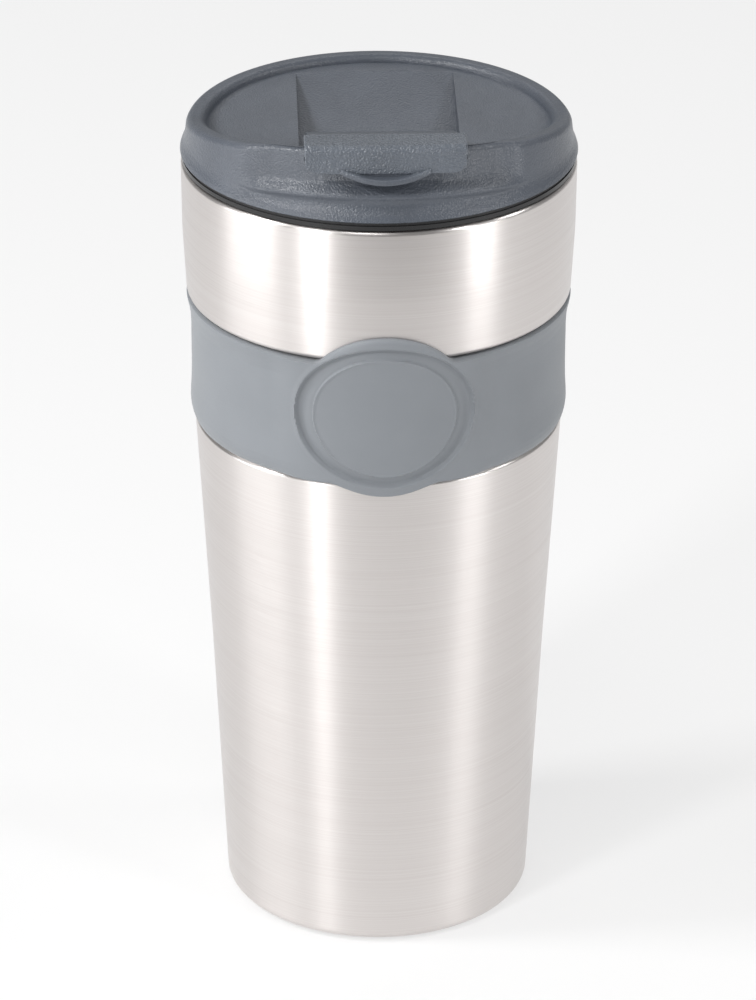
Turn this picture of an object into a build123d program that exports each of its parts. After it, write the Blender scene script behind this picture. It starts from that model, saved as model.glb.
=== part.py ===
"""Insulated travel mug: steel shell, plastic liner, silicone grip band and a screw-in flip lid.

The frame is in millimetres. The origin is the centre of the foot on the surface that the mug
stands on, +Z points up, and the drinking side (spout, lever and medallion) faces -Y.
"""
from build123d import *
from math import radians, tan
import os

os.makedirs("parts", exist_ok=True)

# ---- Overall sizes ----
shell_height = 173.2
shell_top_radius = 41.9
foot_radius = 33.45

# ---- Fits between neighbouring pieces ----
fit_gap = 0.05            # between pieces that are pressed or bonded together
running_gap = 0.05        # radial gap of the lever on its pin
moving_gap = 0.3          # between pieces that move past each other
insulating_gap = 1.1      # between the liner and the shell where they come closest
slack = 1.0               # how far a cutting solid runs past the face that it cuts

# ---- Steel outer shell ----
shell_wall = 0.5
upper_length = 30.6       # from the top of the band's groove up to the shell's mouth
bulge_drop = 15.2         # the line where the bulge meets the mouth's cone, below the mouth
bulge_inset = 0.15        # bulge radius less than the mouth's
bulge_step_inset = 0.9
groove_width = 27.0
groove_depth = 3.5        # groove radius less than the mouth's
groove_step = 1.3         # height over which the shell steps in and out of the groove
shoulder_rise = 1.1       # top of the lower taper outside the groove's bottom
side_drop = 52.3          # the place below the shoulder where the taper steepens
side_hollow = 0.27        # how far that place lies inside a straight taper
hem_width = 2.55          # the bottom edge is rolled inwards by this much
hem_height = 0.4
foot_edge_radius = 2.2
side_bend_radius = 400.0
crease_radius = 0.6
bulge_edge_radius = 1.4
belly_radius = 90.0       # large radius that blends the bulge into the top
lip_edge_radius = 0.9

# ---- Base cap and foot pad ----
base_cap_wall = 2.2
pad_margin = 2.3          # pad radius less than the shell's hem
foot_pad_thickness = 1.6
pad_proud = 0.7           # how far the pad stands below the cap
rib_thickness = 1.6
rib_hub_radius = 9.0
pad_edge_radius = 0.5

# ---- Liner ----
liner_wall = 1.5
liner_foot_gap = 2.25     # between the liner and the shell at the foot
liner_floor_height = 9.8
mouth_inset = 4.7         # liner's mouth inside the shell's
neck_inset = 1.2
mouth_step = 2.5
liner_corner_radius = 7.0
liner_bend_radius = 1.5
lip_gap = 0.5             # between the shell's rolled top edge and the liner
rim_seal_thickness = 0.4
flange_thickness = 0.9
flange_inset = 0.2

# ---- Lid gasket, thread ring and thread ----
gasket_thickness = 0.7
gasket_inset = 0.3
ring_gap = 2.0            # between the thread ring and the liner's mouth, bridged by the ridges
ring_wall = 2.0
ring_depth = 11.5         # how far the thread ring reaches down from the lid's underside
thread_lead = 15.0
thread_starts = 3
thread_sweep = 105.0      # degrees of turn that each thread start covers
thread_radial_gap = 0.4
ridge_root_width = 2.0
ridge_tip_width = 1.0
ridge_flank_gap = 0.35
ridge_root_depth = 0.3    # how far a ridge is sunk into its wall
thread_end_margin = 1.8   # height kept free below the lowest ridge

# ---- Lid body ----
lid_overhang = 0.1        # lid's lower edge outside the shell's mouth
lid_waist_inset = 1.1     # waist above the flared skirt, inside that edge
lid_waist_rise = 3.8      # height of the flared skirt
lid_rim_rise = 6.5        # height of the level rim at the back above the lid's lower edge
spout_slope = 0.22        # rise of the rim towards the front, per millimetre
lid_taper = 0.11          # how much the wall leans in above the skirt, per millimetre
rim_width = 4.2           # from the waist to the recess inside the rim
floor_drop = 0.9          # recess floor below the rim at the back
floor_slope_angle = 4.0
lid_underside_step = 1.0
recess_corner_radius = 1.5
scoop_depth = 2.0         # foot of the spout wall in the scoop, inside the waist
scoop_lean = 0.1          # how much that wall leans in, per millimetre
scoop_rise = 5.7          # height of the scoop's ledge above the lid's lower edge
scoop_ledge_rise = 2.4
scoop_angle = 84.0

# ---- Lever pocket in the lid ----
pocket_width = 34.0
pocket_wall = 2.0
pocket_depth = 10.9       # pocket bottom below the rim at the back
pocket_back_margin = 5.2  # from the recess wall at the back
pocket_front_margin = 2.3 # from the recess wall at the front
pocket_ramp_foot = 2.0
pocket_floor_front = -22.5
pocket_step_front = -27.2
pocket_step_rise = 6.5
pocket_front_rise = 7.6

# ---- Flip lever, pin and seals ----
lever_side_gap = 1.4      # between the arm and each side of the pocket
lever_thickness = 2.7
lever_rear = -3.8
lever_front_margin = 2.4  # where the sloping arm meets the head, inside the recess wall
lever_rear_drop = 1.5     # rear end of the lever's top face below the rim at the back
hinge_y = -6.2
hinge_drop = 5.5          # pin axis below the rim at the back
barrel_radius = 2.8
pin_radius = 1.25
pin_overlap = 3.4         # length of pin held in each side of the pocket
head_overhang = 1.0       # head wider than the arm, on each side
head_plate_thickness = 1.6
head_clearance = 1.3      # lets the head's lower edge swing up past the spout
head_cover = 1.24         # arm's top above the underside of the head, over the rim
head_rise = 0.2           # head's flat top above the arm's front end
head_drop = 6.0           # how far the head hangs down in front of the spout
head_corner_radius = 2.6
head_edge_radius = 1.2
tab_width = 18.3
tab_reach = 1.9
tab_thickness = 1.2
seal_y = -18.0
seal_length = 7.6
seal_width = 15.0
seal_thickness = 2.6
seal_edge_radius = 0.8
drink_hole_width = 12.0
drink_hole_length = 5.0
post_width = 8.0
post_length = 5.0
stud_radius = 1.4
stud_length = 1.5
vent_y = -11.4
vent_hole_radius = 1.1
vent_seal_radius = 2.3
vent_seal_thickness = 1.8
vent_post_radius = 1.6

# ---- Grip band: its faces are measured out from the bottom of the groove ----
band_thickness = 1.75
band_lip_thickness = 2.1
band_top_thickness = 2.6
band_lip_height = 3.2
band_top_lip_height = 2.6
medallion_rise = 2.0            # its middle above the middle of the groove
medallion_thickness_low = 2.2   # the medallion leans out a little towards its top
medallion_thickness_high = 4.1
medallion_half_width = 21.0
medallion_half_height = 18.4
medallion_ring_width = 19.1
medallion_ring_height = 16.4
medallion_disc_width = 15.2
medallion_disc_height = 14.2
medallion_groove_depth = 0.5

# ---- Heights that follow from the sizes above ----
groove_top = shell_height - upper_length
groove_bottom = groove_top - groove_width
bulge_height = shell_height - bulge_drop
shoulder_height = groove_bottom - groove_step
side_height = shoulder_height - side_drop
flange_base = shell_height + rim_seal_thickness
flange_top = flange_base + flange_thickness
lid_base = flange_top + gasket_thickness
rim_height = lid_base + lid_rim_rise
ring_bottom = lid_base - ring_depth
pocket_bottom = rim_height - pocket_depth
hinge_height = rim_height - hinge_drop
cap_base = pad_proud
cap_flange_base = hem_height + shell_wall + fit_gap
cap_flange_top = cap_flange_base + base_cap_wall
medallion_height = (groove_bottom + groove_top) / 2 + medallion_rise

# ---- Radii that follow ----
groove_radius = shell_top_radius - groove_depth
shoulder_radius = groove_radius + shoulder_rise
side_share = (side_height - hem_height) / (shoulder_height - hem_height)
side_radius = foot_radius + (shoulder_radius - foot_radius) * side_share - side_hollow
hem_radius = foot_radius - hem_width
foot_pad_radius = hem_radius - pad_margin
mouth_radius = shell_top_radius - mouth_inset
shell_lip_radius = mouth_radius + liner_wall + lip_gap
liner_neck_radius = mouth_radius - neck_inset
liner_waist_radius = groove_radius - shell_wall - insulating_gap - liner_wall
liner_floor_radius = foot_radius - shell_wall - liner_foot_gap - liner_wall
flange_radius = shell_top_radius - flange_inset
gasket_radius = flange_radius - gasket_inset
ring_radius = mouth_radius - ring_gap
boss_radius = ring_radius - ring_wall - moving_gap
lid_foot_radius = shell_top_radius + lid_overhang
lid_waist_radius = lid_foot_radius - lid_waist_inset
recess_radius = lid_waist_radius - rim_width
scoop_radius = lid_waist_radius - scoop_depth
band_radius = groove_radius + band_thickness
band_lip_radius = groove_radius + band_lip_thickness
band_top_radius = groove_radius + band_top_thickness
medallion_radius_low = groove_radius + medallion_thickness_low
medallion_radius_high = groove_radius + medallion_thickness_high

# ---- Places on the lid that follow ----
floor_slope = tan(radians(floor_slope_angle))
spout_height = rim_height + spout_slope * lid_foot_radius
scoop_top_rise = spout_height + slack - lid_base - scoop_rise - scoop_ledge_rise
scoop_top_radius = scoop_radius - scoop_lean * scoop_top_rise
lid_top_radius = lid_waist_radius - lid_taper * (spout_height + slack - lid_base - lid_waist_rise)
pocket_back = recess_radius - pocket_back_margin
pocket_front = pocket_front_margin - recess_radius
lever_front = lever_front_margin - recess_radius
lever_width = pocket_width - 2 * lever_side_gap
head_width = lever_width + 2 * head_overhang


def shell_outline():
    """Draw the shell's outer line, from the hem under the foot to the lip at the mouth."""
    corners = [
        (hem_radius, hem_height),
        (foot_radius, hem_height),
        (side_radius, side_height),
        (shoulder_radius, shoulder_height),
        (groove_radius, groove_bottom),
        (groove_radius, groove_top),
        (shell_top_radius - bulge_step_inset, groove_top + groove_step),
        (shell_top_radius - bulge_inset, bulge_height),
        (shell_top_radius, shell_height),
        (shell_lip_radius, shell_height),
    ]
    bends = [
        foot_edge_radius, side_bend_radius, crease_radius, crease_radius, crease_radius,
        bulge_edge_radius, belly_radius, lip_edge_radius,
    ]
    FilletPolyline(*corners, radius=bends)


def thread_ridges(root_radius, tip_radius, height):
    """Sweep every start of the lid's right-handed thread onto the piece that is being built."""
    outward = 1 if tip_radius > root_radius else -1
    sunk_radius = root_radius - outward * ridge_root_depth
    for start in range(thread_starts):
        turned = Plane.XY.offset(height).rotated((0, 0, start * 360 / thread_starts))
        with BuildLine(turned) as path:
            Helix(pitch=thread_lead, height=thread_lead * thread_sweep / 360, radius=root_radius)
        radial = (path.line @ 0 - turned.origin).normalized()
        section = Plane(origin=turned.origin, x_dir=radial, z_dir=path.line % 0)
        with BuildSketch(section) as ridge:
            with BuildLine():
                Polyline(
                    (sunk_radius, -ridge_root_width / 2),
                    (tip_radius, -ridge_tip_width / 2),
                    (tip_radius, ridge_tip_width / 2),
                    (sunk_radius, ridge_root_width / 2),
                    close=True,
                )
            make_face()
        sweep(sections=ridge.sketch, path=path.line, is_frenet=True)


# ---- Steel outer shell: one spun wall, rolled in at the foot and at the mouth ----
with BuildPart() as outer_shell:
    with BuildSketch(Plane.XZ):
        with BuildLine():
            shell_outline()
            offset(amount=shell_wall, side=Side.LEFT)
        make_face()
    revolve(axis=Axis.Z)

# ---- Base cap: closes the shell's foot, with crossed ribs that carry the liner ----
cap_radius = foot_radius - shell_wall - moving_gap
liner_underside = liner_floor_height - liner_wall
with BuildPart() as base_cap:
    with BuildSketch(Plane.XY.offset(cap_flange_base)):
        Circle(cap_radius)
    extrude(amount=base_cap_wall)
    fillet(base_cap.edges().group_by(Axis.Z)[0], radius=foot_edge_radius - shell_wall)
    with BuildSketch(Plane.XY.offset(cap_base)):
        Circle(hem_radius - moving_gap)
    extrude(amount=cap_flange_base - cap_base)
    with BuildSketch(Plane.XY.offset(cap_flange_top)):
        Rectangle(2 * liner_floor_radius - liner_corner_radius, rib_thickness)
        Rectangle(rib_thickness, 2 * liner_floor_radius - liner_corner_radius)
        Circle(rib_hub_radius)
        Circle(rib_hub_radius - rib_thickness, mode=Mode.SUBTRACT)
    extrude(amount=liner_underside - fit_gap - cap_flange_top)
    with BuildSketch(Plane.XY.offset(cap_base)):
        Circle(foot_pad_radius + fit_gap)
    extrude(amount=foot_pad_thickness - pad_proud, mode=Mode.SUBTRACT)

# ---- Foot pad: a non-slip disc bonded into the base cap ----
with BuildPart() as foot_pad:
    with BuildSketch():
        Circle(foot_pad_radius)
    extrude(amount=foot_pad_thickness)
    fillet(foot_pad.edges().group_by(Axis.Z)[0], radius=pad_edge_radius)

# ---- Inner liner: a deep cup with a threaded mouth and the flange that shows as a dark line ----
liner_ridge_height = ring_bottom + thread_end_margin + ridge_root_width + ridge_flank_gap
with BuildPart() as inner_liner:
    with BuildSketch(Plane.XZ):
        with BuildLine():
            FilletPolyline(
                (0, liner_floor_height),
                (liner_floor_radius, liner_floor_height),
                (liner_waist_radius, groove_top),
                (liner_neck_radius, bulge_height),
                (mouth_radius, bulge_height + mouth_step),
                (mouth_radius, flange_top),
                radius=[liner_corner_radius] + 3 * [liner_bend_radius],
            )
            offset(amount=liner_wall, side=Side.RIGHT)
        make_face()
    revolve(axis=Axis.Z)
    with BuildSketch(Plane.XY.offset(flange_base)):
        Circle(flange_radius)
        Circle(mouth_radius, mode=Mode.SUBTRACT)
    extrude(amount=flange_thickness)
    thread_ridges(mouth_radius, ring_radius + thread_radial_gap, liner_ridge_height)

# ---- Rim seal: the thin ring between the shell's lip and the liner's flange ----
with BuildPart() as rim_seal:
    with BuildSketch(Plane.XY.offset(shell_height)):
        Circle(shell_top_radius - lip_edge_radius)
        Circle(mouth_radius + liner_wall + fit_gap, mode=Mode.SUBTRACT)
    extrude(amount=rim_seal_thickness)

# ---- Medallion blank: the oval plate that stands out of the band's front ----
medallion_bottom = medallion_height - medallion_half_height
medallion_top = medallion_height + medallion_half_height
with BuildPart() as medallion:
    with BuildSketch(Plane.XZ):
        with BuildLine():
            Polyline(
                (groove_radius + fit_gap, medallion_bottom),
                (medallion_radius_low, medallion_bottom),
                (medallion_radius_high, medallion_top),
                (groove_radius + fit_gap, medallion_top),
                close=True,
            )
        make_face()
    revolve(axis=Axis.Z)
    with BuildSketch(Plane.XZ):
        with Locations((0, medallion_height)):
            Ellipse(medallion_half_width, medallion_half_height)
    extrude(amount=medallion_radius_high + slack, mode=Mode.INTERSECT)

# ---- Medallion groove: the shallow oval channel around the plain disc ----
with BuildPart() as medallion_groove:
    with BuildSketch(Plane.XZ):
        with BuildLine():
            Polyline(
                (medallion_radius_low - medallion_groove_depth, medallion_bottom),
                (medallion_radius_low + slack, medallion_bottom),
                (medallion_radius_high + slack, medallion_top),
                (medallion_radius_high - medallion_groove_depth, medallion_top),
                close=True,
            )
        make_face()
    revolve(axis=Axis.Z)
    with BuildSketch(Plane.XZ):
        with Locations((0, medallion_height)):
            Ellipse(medallion_ring_width, medallion_ring_height)
            Ellipse(medallion_disc_width, medallion_disc_height, mode=Mode.SUBTRACT)
    extrude(amount=medallion_radius_high + 2 * slack, mode=Mode.INTERSECT)

# ---- Shell envelope: the shell's outside grown by the fit gap, which the band closes around ----
with BuildPart() as shell_envelope:
    with BuildSketch(Plane.XZ):
        with BuildLine():
            shell_outline()
            Line((shell_lip_radius, shell_height), (0, shell_height))
            Line((0, shell_height), (0, hem_height))
            Line((0, hem_height), (hem_radius, hem_height))
        make_face()
        offset(amount=fit_gap)
        Rectangle(
            2 * shell_top_radius, 2 * shell_height,
            align=(Align.MAX, Align.CENTER), mode=Mode.SUBTRACT,
        )
    revolve(axis=Axis.Z)

# ---- Grip band: one silicone moulding that sits in the shell's groove ----
with BuildPart() as grip_band:
    with BuildSketch(Plane.XZ):
        with BuildLine():
            Polyline(
                (groove_radius, shoulder_height),
                (shoulder_radius + groove_step / 2, shoulder_height),
                (band_lip_radius, groove_bottom + band_lip_height / 2),
                (band_radius, groove_bottom + 2 * band_lip_height),
                (band_radius, groove_top - 2 * band_top_lip_height),
                (band_top_radius, groove_top - fit_gap),
                (groove_radius, groove_top - fit_gap),
                close=True,
            )
        make_face()
    revolve(axis=Axis.Z)
    add(medallion.part)
    add(medallion_groove.part, mode=Mode.SUBTRACT)
    add(shell_envelope.part, mode=Mode.SUBTRACT)

# ---- Lid gasket: the soft ring that the lid pulls down on the liner's flange ----
with BuildPart() as lid_gasket:
    with BuildSketch(Plane.XY.offset(flange_top)):
        Circle(gasket_radius)
        Circle(ring_radius + moving_gap, mode=Mode.SUBTRACT)
    extrude(amount=gasket_thickness)

# ---- Thread ring: the lower half of the lid, welded under the lid body ----
with BuildPart() as thread_ring:
    with BuildSketch(Plane.XY.offset(ring_bottom)):
        Circle(ring_radius)
        Circle(ring_radius - ring_wall, mode=Mode.SUBTRACT)
    extrude(amount=ring_depth)
    thread_ridges(ring_radius, mouth_radius - thread_radial_gap, ring_bottom + thread_end_margin)

# ---- Recess tool: everything above the lid's sloping floor, inside its rim ----
floor_back = rim_height - floor_drop
with BuildPart() as recess:
    with BuildSketch(Plane.YZ):
        with BuildLine():
            Polyline(
                (recess_radius, floor_back),
                (-recess_radius, floor_back - 2 * recess_radius * floor_slope),
                (-recess_radius, spout_height + slack),
                (recess_radius, spout_height + slack),
                close=True,
            )
        make_face()
    extrude(amount=recess_radius, both=True)
    with BuildSketch():
        Circle(recess_radius)
    extrude(amount=spout_height + 2 * slack, mode=Mode.INTERSECT)
    fillet(recess.faces().sort_by(Axis.Z)[0].edges(), radius=recess_corner_radius)

# ---- Pocket: the sunken trough that the lever folds back into ----
pocket_outline = [
    (pocket_back, floor_back + slack / 2),
    (pocket_ramp_foot, pocket_bottom),
    (pocket_floor_front, pocket_bottom),
    (pocket_step_front, pocket_bottom + pocket_step_rise),
    (pocket_front, pocket_bottom + pocket_front_rise),
]
with BuildPart() as pocket:
    with BuildSketch(Plane.YZ):
        with BuildLine():
            Polyline(
                *pocket_outline,
                (pocket_front, spout_height + slack),
                (pocket_back, spout_height + slack),
                close=True,
            )
        make_face()
    extrude(amount=pocket_width / 2, both=True)
    with BuildSketch():
        Circle(recess_radius)
    extrude(amount=spout_height + 2 * slack, mode=Mode.INTERSECT)

# ---- Lid body: flared skirt, raised spout, sloping recess and the lever's pocket ----
with BuildPart() as lid_body:
    with BuildSketch(Plane.XZ):
        with BuildLine():
            Polyline(
                (0, lid_base - lid_underside_step),
                (boss_radius, lid_base - lid_underside_step),
                (boss_radius, lid_base),
                (lid_foot_radius, lid_base),
                (lid_waist_radius, lid_base + lid_waist_rise),
                (lid_top_radius, spout_height + slack),
                (0, spout_height + slack),
                close=True,
            )
        make_face()
    revolve(axis=Axis.Z)
    with BuildSketch(Plane.XY.offset(pocket_bottom - pocket_wall)):
        Circle(boss_radius)
        Rectangle(pocket_width + 2 * pocket_wall, 2 * boss_radius, mode=Mode.INTERSECT)
    extrude(amount=lid_base - pocket_bottom + pocket_wall)
    with BuildSketch(Plane.YZ):
        with BuildLine():
            Polyline(
                (0, rim_height),
                (-lid_foot_radius, spout_height),
                (-lid_foot_radius, spout_height + 2 * slack),
                (lid_foot_radius, spout_height + 2 * slack),
                (lid_foot_radius, rim_height),
                close=True,
            )
        make_face()
    extrude(amount=lid_foot_radius, both=True, mode=Mode.SUBTRACT)
    with BuildSketch(Plane.XZ.rotated((0, 0, -90 - scoop_angle / 2))):
        with BuildLine():
            Polyline(
                (scoop_top_radius, spout_height + slack),
                (scoop_radius, lid_base + scoop_rise + scoop_ledge_rise),
                (lid_waist_radius - lid_taper * (scoop_rise - lid_waist_rise), lid_base + scoop_rise),
                (lid_foot_radius + slack, lid_base + scoop_rise),
                (lid_foot_radius + slack, spout_height + slack),
                close=True,
            )
        make_face()
    revolve(axis=Axis.Z, revolution_arc=scoop_angle, mode=Mode.SUBTRACT)
    add(recess.part, mode=Mode.SUBTRACT)
    add(pocket.part, mode=Mode.SUBTRACT)
    with BuildSketch(Plane.XY.offset(pocket_bottom - pocket_wall - slack)):
        with Locations((0, seal_y)):
            SlotOverall(drink_hole_width, drink_hole_length)
        with Locations((0, vent_y)):
            Circle(vent_hole_radius)
    extrude(amount=pocket_wall + 2 * slack, mode=Mode.SUBTRACT)
    with BuildSketch(Plane.YZ):
        with Locations((hinge_y, hinge_height)):
            Circle(pin_radius + fit_gap)
    extrude(amount=pocket_width / 2 + pin_overlap + fit_gap, both=True, mode=Mode.SUBTRACT)

# ---- Hinge pin: a plain steel rod that snaps into the pocket's sides ----
with BuildPart() as hinge_pin:
    with BuildSketch(Plane.YZ):
        with Locations((hinge_y, hinge_height)):
            Circle(pin_radius)
    extrude(amount=pocket_width / 2 + pin_overlap, both=True)

# ---- Flip lever: arm, hooked head, thumb tab and the posts that carry the two seals ----
head_underside = spout_height - spout_slope * (lid_foot_radius - scoop_radius) + moving_gap
lever_rear_height = rim_height - lever_rear_drop
lever_front_height = head_underside + head_cover
lever_slope = (lever_front_height - lever_rear_height) / (lever_rear - lever_front)
head_inner_y = -scoop_radius - head_clearance
head_outer_y = head_inner_y - head_plate_thickness
head_top = lever_front_height + head_rise
head_bottom = head_top - head_drop
seal_top = pocket_bottom + fit_gap + seal_thickness
vent_seal_top = pocket_bottom + fit_gap + vent_seal_thickness


def lever_underside(y):
    """Height of the arm's underside at a distance along the mug's front-to-back line."""
    return lever_rear_height + lever_slope * (lever_rear - y) - lever_thickness


with BuildPart() as flip_lever:
    with BuildSketch(Plane.YZ):
        with BuildLine():
            Polyline(
                (lever_rear, lever_rear_height),
                (lever_front, lever_front_height),
                (-recess_radius, lever_front_height),
                (-recess_radius, head_underside),
                (hinge_y - barrel_radius, lever_underside(hinge_y - barrel_radius)),
                (hinge_y - barrel_radius, hinge_height),
                (hinge_y + barrel_radius, hinge_height),
                close=True,
            )
        make_face()
        with Locations((hinge_y, hinge_height)):
            Circle(barrel_radius)
    extrude(amount=lever_width / 2, both=True)
    with BuildSketch(Plane.YZ):
        with BuildLine():
            Polyline(
                (-recess_radius, head_underside),
                (lever_front, lever_underside(lever_front) + lever_thickness / 2),
                (lever_front, head_top),
                (head_outer_y + head_edge_radius, head_top),
                (head_outer_y, head_top - head_edge_radius),
                (head_outer_y, head_bottom),
                (head_inner_y, head_bottom),
                (head_inner_y, head_underside),
                close=True,
            )
        make_face()
    extrude(amount=head_width / 2, both=True)
    head_corners = flip_lever.edges().filter_by(Axis.Y).group_by(Axis.Z)[0]
    fillet(head_corners, radius=head_corner_radius)
    with BuildSketch(Plane.XY.offset(head_bottom - tab_thickness / 2)):
        with BuildLine():
            tab_line = ThreePointArc(
                (-tab_width / 2, head_outer_y),
                (0, head_outer_y - tab_reach),
                (tab_width / 2, head_outer_y),
            )
            Polyline(
                tab_line @ 1,
                (tab_width / 2, head_inner_y),
                (-tab_width / 2, head_inner_y),
                tab_line @ 0,
            )
        make_face()
    extrude(amount=tab_thickness)
    with BuildSketch(Plane.XY.offset(seal_top)):
        with Locations((0, seal_y)):
            Rectangle(post_width, post_length)
    extrude(amount=lever_underside(seal_y) + fit_gap - seal_top)
    with BuildSketch(Plane.XY.offset(seal_top - stud_length)):
        with Locations((0, seal_y)):
            Circle(stud_radius)
    extrude(amount=stud_length)
    with BuildSketch(Plane.XY.offset(vent_seal_top)):
        with Locations((0, vent_y)):
            Circle(vent_post_radius)
    extrude(amount=lever_underside(vent_y) + fit_gap - vent_seal_top)
    with BuildSketch(Plane.YZ):
        with Locations((hinge_y, hinge_height)):
            Circle(pin_radius + running_gap)
    extrude(amount=lever_width, both=True, mode=Mode.SUBTRACT)

# ---- Spout seal: the silicone foot on the lever that closes the drink hole ----
with BuildPart() as spout_seal:
    with BuildSketch(Plane.XY.offset(pocket_bottom + fit_gap)):
        with Locations((0, seal_y)):
            RectangleRounded(seal_width, seal_length, seal_length / 3)
    extrude(amount=seal_thickness)
    fillet(spout_seal.edges().group_by(Axis.Z)[0], radius=seal_edge_radius)
    with BuildSketch(Plane.XY.offset(seal_top - stud_length - fit_gap)):
        with Locations((0, seal_y)):
            Circle(stud_radius + fit_gap)
    extrude(amount=stud_length + 2 * fit_gap, mode=Mode.SUBTRACT)

# ---- Vent seal: the small silicone foot that closes the air hole ----
with BuildPart() as vent_seal:
    with BuildSketch(Plane.XY.offset(pocket_bottom + fit_gap)):
        with Locations((0, vent_y)):
            Circle(vent_seal_radius)
    extrude(amount=vent_seal_thickness)
    fillet(vent_seal.edges().group_by(Axis.Z)[0], radius=seal_edge_radius)

pieces = {
    "outer_shell": outer_shell,
    "inner_liner": inner_liner,
    "rim_seal": rim_seal,
    "base_cap": base_cap,
    "foot_pad": foot_pad,
    "grip_band": grip_band,
    "lid_body": lid_body,
    "thread_ring": thread_ring,
    "lid_gasket": lid_gasket,
    "hinge_pin": hinge_pin,
    "flip_lever": flip_lever,
    "spout_seal": spout_seal,
    "vent_seal": vent_seal,
}
for name, piece in pieces.items():
    piece.part.label = name
    export_step(piece.part, f"parts/{name}.step")
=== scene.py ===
"""Looks of the insulated travel mug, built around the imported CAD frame.

Everything is in metres in the row frame: +Z is up and the drinking side faces -Y. Shapes are
written in millimetres and scaled once, when a mesh is made.
"""
import bpy
import bmesh
from math import acos, atan2, cos, degrees, exp, hypot, log, pi, radians, sin, sqrt, tan
from mathutils import Euler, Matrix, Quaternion, Vector


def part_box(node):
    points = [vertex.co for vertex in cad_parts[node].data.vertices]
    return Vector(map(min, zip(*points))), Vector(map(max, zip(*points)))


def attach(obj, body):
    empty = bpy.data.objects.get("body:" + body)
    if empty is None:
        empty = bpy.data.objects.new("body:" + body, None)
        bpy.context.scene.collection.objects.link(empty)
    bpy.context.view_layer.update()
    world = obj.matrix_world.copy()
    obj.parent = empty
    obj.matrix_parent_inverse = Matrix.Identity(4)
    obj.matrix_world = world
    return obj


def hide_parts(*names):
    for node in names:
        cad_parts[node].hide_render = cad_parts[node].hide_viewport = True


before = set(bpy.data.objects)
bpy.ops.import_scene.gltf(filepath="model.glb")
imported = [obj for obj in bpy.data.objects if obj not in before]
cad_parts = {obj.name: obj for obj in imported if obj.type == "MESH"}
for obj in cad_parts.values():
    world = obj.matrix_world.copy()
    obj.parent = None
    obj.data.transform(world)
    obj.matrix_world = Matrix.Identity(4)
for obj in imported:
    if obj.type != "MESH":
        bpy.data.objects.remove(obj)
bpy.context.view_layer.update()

MM = 0.001


# ------------------------------------------------------------------ places read from the frame
def box_mm(node):
    """Lowest and highest corner of a CAD node in millimetres."""
    low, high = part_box(node)
    return low / MM, high / MM


shell_low, shell_high = box_mm("outer_shell")
lid_low, lid_high = box_mm("lid_body")
lever_low, lever_high = box_mm("flip_lever")
band_low, band_high = box_mm("grip_band")
ring_low, ring_high = box_mm("thread_ring")
pin_low, pin_high = box_mm("hinge_pin")
seal_low, seal_high = box_mm("spout_seal")
vent_low, vent_high = box_mm("vent_seal")


# ------------------------------------------------------------------ small helpers for shapes
def smoothstep(low, high, value):
    """0 below low, 1 above high, and a smooth ramp between them."""
    t = min(max((value - low) / (high - low), 0.0), 1.0)
    return t * t * (3 - 2 * t)


def bump(centre, half_width, value):
    """A smooth hill of height 1 at the centre, 0 beyond the half width."""
    t = (value - centre) / half_width
    return (1 - t * t) ** 2 if abs(t) < 1 else 0.0


def soft_max(a, b, blend):
    """The larger of two values, with a rounded corner where they meet."""
    h = max(blend - abs(a - b), 0.0) / blend
    return max(a, b) + h * h * blend / 4


def soft_min(a, b, blend):
    """The smaller of two values, with a rounded corner where they meet."""
    return -soft_max(-a, -b, blend)


def interpolate(table, value):
    """Read a value off a short list of (place, value) points, along smooth curves."""
    if value <= table[0][0]:
        return table[0][1]
    for (x0, y0), (x1, y1) in zip(table, table[1:]):
        if value <= x1:
            return y0 + (y1 - y0) * (value - x0) / (x1 - x0)
    return table[-1][1]


def rounded(corners, radii, steps=6):
    """Round the inner corners of a flat open line of (a, b) points, each by its own radius."""
    line = [corners[0]]
    for before, corner, after, radius in zip(corners, corners[1:], corners[2:], radii):
        corner = Vector(corner)
        into = (Vector(before) - corner).normalized()
        out = (Vector(after) - corner).normalized()
        half = acos(max(-1.0, min(1.0, into.dot(out)))) / 2
        reach = radius / tan(half)
        centre = corner + (into + out).normalized() * (radius / sin(half))
        start = corner + into * reach - centre
        end = corner + out * reach - centre
        for step in range(steps + 1):
            t = step / steps
            spoke = start.lerp(end, t).normalized() * radius
            line.append(tuple(centre + spoke))
    line.append(corners[-1])
    return line


# ------------------------------------------------------------------ mesh makers
def new_piece(name, vertices, faces, body, material, stands_for=(), crease=35.0):
    """Make a mesh from millimetre points, shade it, and hang it on its CAD body."""
    mesh = bpy.data.meshes.new(name)
    mesh.from_pydata([tuple(c * MM for c in v) for v in vertices], [], faces)
    mesh.validate()
    clean(mesh)
    piece = bpy.data.objects.new(name, mesh)
    bpy.context.scene.collection.objects.link(piece)
    finish_piece(piece, body, material, stands_for, crease)
    return piece


def clean(mesh):
    """Weld doubled points and turn every face outwards."""
    work = bmesh.new()
    work.from_mesh(mesh)
    bmesh.ops.remove_doubles(work, verts=work.verts, dist=1e-6)
    bmesh.ops.recalc_face_normals(work, faces=work.faces)
    work.to_mesh(mesh)
    work.free()


def finish_piece(piece, body, material, stands_for=(), crease=35.0):
    """Smooth shading up to the crease angle, the material, and the piece's place in the frame."""
    for polygon in piece.data.polygons:
        polygon.use_smooth = True
    piece.data.set_sharp_from_angle(angle=radians(crease))
    piece.data.materials.clear()
    piece.data.materials.append(material)
    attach(piece, body)
    if stands_for:
        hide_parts(*stands_for)


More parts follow.
